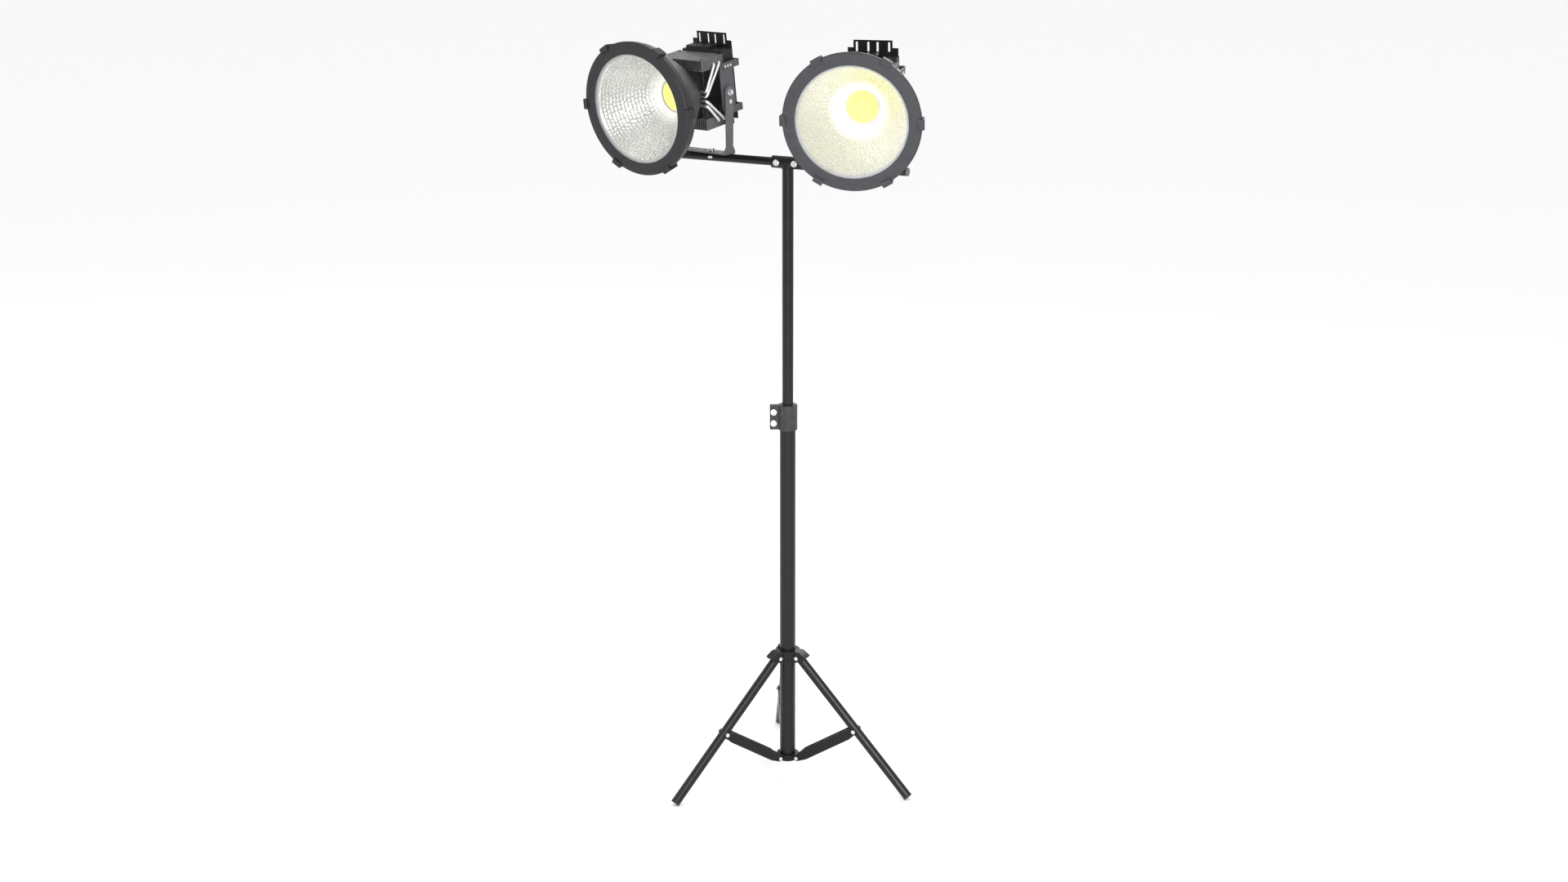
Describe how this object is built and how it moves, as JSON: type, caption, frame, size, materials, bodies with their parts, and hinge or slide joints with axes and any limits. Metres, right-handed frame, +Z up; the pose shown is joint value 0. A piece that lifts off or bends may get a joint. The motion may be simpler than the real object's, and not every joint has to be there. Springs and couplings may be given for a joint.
{
  "type": "work light",
  "caption": "Tripod work light: round LED floodlight heads on tilting yokes, a crossbar on a telescopic mast and folding braced legs.",
  "frame": {"origin": "on the mast's axis at floor level, under the column", "axes": "+Z up the mast, X along the crossbar, the lamps face -Y with the outer edges turned outward"},
  "size_m": [0.9876, 0.6838, 2.1329],
  "materials": {
    "stand_paint": "semi-gloss black powder coat",
    "bracket_paint": "satin dark grey powder coat",
    "zinc": "bright zinc plate",
    "black_plastic": "fine-grained black",
    "foot_rubber": "matte",
    "ring_plastic": "satin dark grey",
    "shell_aluminium": "dark anodised",
    "fin_aluminium": "satin dark anodised",
    "cover_glass": "clear",
    "seal": "matte",
    "reflector_metal": "hammered bright",
    "phosphor": "matt phosphor on a white board",
    "pipe_metal": "nickel plated",
    "driver_case": "potted black case"
  },
  "bodies": {
    "column": {"lower_tube": "stand_paint", "lower_hub": "stand_paint", "lower_hub_pins": "zinc", "clamp_collar": "stand_paint", "collar_bolts": "zinc", "mast_bush": "black_plastic"},
    "hub": {"leg_hub": "stand_paint", "leg_hub_pins": "zinc"},
    "hub_knob": {"hub_lock_knob": "black_plastic"},
    "leg_1": {"leg_tube_1": "stand_paint", "foot_cap_1": "foot_rubber"},
    "leg_2": {"leg_tube_2": "stand_paint", "foot_cap_2": "foot_rubber"},
    "leg_3": {"leg_tube_3": "stand_paint", "foot_cap_3": "foot_rubber"},
    "brace_1": {"brace_1": "stand_paint"},
    "brace_2": {"brace_2": "stand_paint"},
    "brace_3": {"brace_3": "stand_paint"},
    "guide": {"mast_guide": "black_plastic"},
    "mast": {"upper_tube": "stand_paint", "t_joint": "stand_paint", "t_joint_bolts": "zinc", "crossbar": "stand_paint", "bar_caps": "black_plastic", "yoke_bolts": "zinc"},
    "left_yoke": {"left_yoke": "bracket_paint", "left_tilt_lock_screws": "zinc"},
    "left_head": {"left_bezel": "ring_plastic", "left_bezel_clips": "ring_plastic", "left_lens": "cover_glass", "left_gasket": "seal", "left_reflector": "reflector_metal", "left_housing": "shell_aluminium", "left_led_board": "phosphor", "left_heat_core": "shell_aluminium", "left_heat_pipes": "pipe_metal", "left_fin_stacks": "fin_aluminium", "left_rear_frame": "bracket_paint", "left_rear_plate": "bracket_paint", "left_driver_box": "driver_case", "left_pivot_bolts": "zinc", "left_head_screws": "zinc"},
    "right_yoke": {"right_yoke": "bracket_paint", "right_tilt_lock_screws": "zinc"},
    "right_head": {"right_bezel": "ring_plastic", "right_bezel_clips": "ring_plastic", "right_lens": "cover_glass", "right_gasket": "seal", "right_reflector": "reflector_metal", "right_housing": "shell_aluminium", "right_led_board": "phosphor", "right_heat_core": "shell_aluminium", "right_heat_pipes": "pipe_metal", "right_fin_stacks": "fin_aluminium", "right_rear_frame": "bracket_paint", "right_rear_plate": "bracket_paint", "right_driver_box": "driver_case", "right_pivot_bolts": "zinc", "right_head_screws": "zinc"}
  },
  "joints": [
    {"name": "hub_slide", "type": "slide", "parent": "column", "child": "hub", "axis": [0, 0, 1], "range_m": [0, 0.1695]},
    {"name": "leg_fold_1", "type": "hinge", "parent": "hub", "child": "leg_1", "pos_m": [0.036, 0, 0.3731], "axis": [0, 1, 0], "range_deg": [0, 40.6]},
    {"name": "brace_fold_1", "type": "hinge", "parent": "column", "child": "brace_1", "pos_m": [0.0365, 0, 0.0635], "axis": [0, -1, 0], "range_deg": [0, 53.59]},
    {"name": "leg_fold_2", "type": "hinge", "parent": "hub", "child": "leg_2", "pos_m": [-0.018, 0.03118, 0.3731], "axis": [-0.866, -0.5, 0], "range_deg": [0, 40.6]},
    {"name": "brace_fold_2", "type": "hinge", "parent": "column", "child": "brace_2", "pos_m": [-0.01825, 0.03161, 0.0635], "axis": [0.866, 0.5, 0], "range_deg": [0, 53.59]},
    {"name": "leg_fold_3", "type": "hinge", "parent": "hub", "child": "leg_3", "pos_m": [-0.018, -0.03118, 0.3731], "axis": [0.866, -0.5, 0], "range_deg": [0, 40.6]},
    {"name": "brace_fold_3", "type": "hinge", "parent": "column", "child": "brace_3", "pos_m": [-0.01825, -0.03161, 0.0635], "axis": [-0.866, 0.5, 0], "range_deg": [0, 53.59]},
    {"name": "hub_knob_turn", "type": "hinge", "parent": "hub", "child": "hub_knob", "pos_m": [-0.01816, 0.03564, 0.4091], "axis": [-0.454, 0.891, 0], "continuous": true},
    {"name": "mast_slide", "type": "slide", "parent": "column", "child": "guide", "axis": [0, 0, 1], "range_m": [-0.6, 0.14]},
    {"name": "mast_turn", "type": "hinge", "parent": "guide", "child": "mast", "pos_m": [0, 0, 0.894], "axis": [0, 0, 1], "range_deg": [-180, 180]},
    {"name": "left_swivel", "type": "hinge", "parent": "mast", "child": "left_yoke", "pos_m": [-0.2315, 0, 1.8098], "axis": [0, 0, 1], "range_deg": [-20, 22]},
    {"name": "left_tilt", "type": "hinge", "parent": "left_yoke", "child": "left_head", "pos_m": [-0.25693, 0.00541, 1.975], "axis": [0.9781, -0.2079, 0], "range_deg": [-97, 24]},
    {"name": "right_swivel", "type": "hinge", "parent": "mast", "child": "right_yoke", "pos_m": [0.2132, 0, 1.8098], "axis": [0, 0, 1], "range_deg": [-22, 20]},
    {"name": "right_tilt", "type": "hinge", "parent": "right_yoke", "child": "right_head", "pos_m": [0.23835, 0.0066, 1.975], "axis": [0.9673, 0.2538, 0], "range_deg": [-97, 24]}
  ],
  "couplings": [
    {"joint": "leg_fold_1", "follows": "hub_slide", "rad_per_m": 4.16},
    {"joint": "brace_fold_1", "follows": "hub_slide", "rad_per_m": 5.4979},
    {"joint": "leg_fold_2", "follows": "hub_slide", "rad_per_m": 4.16},
    {"joint": "brace_fold_2", "follows": "hub_slide", "rad_per_m": 5.4979},
    {"joint": "leg_fold_3", "follows": "hub_slide", "rad_per_m": 4.16},
    {"joint": "brace_fold_3", "follows": "hub_slide", "rad_per_m": 5.4979}
  ]
}
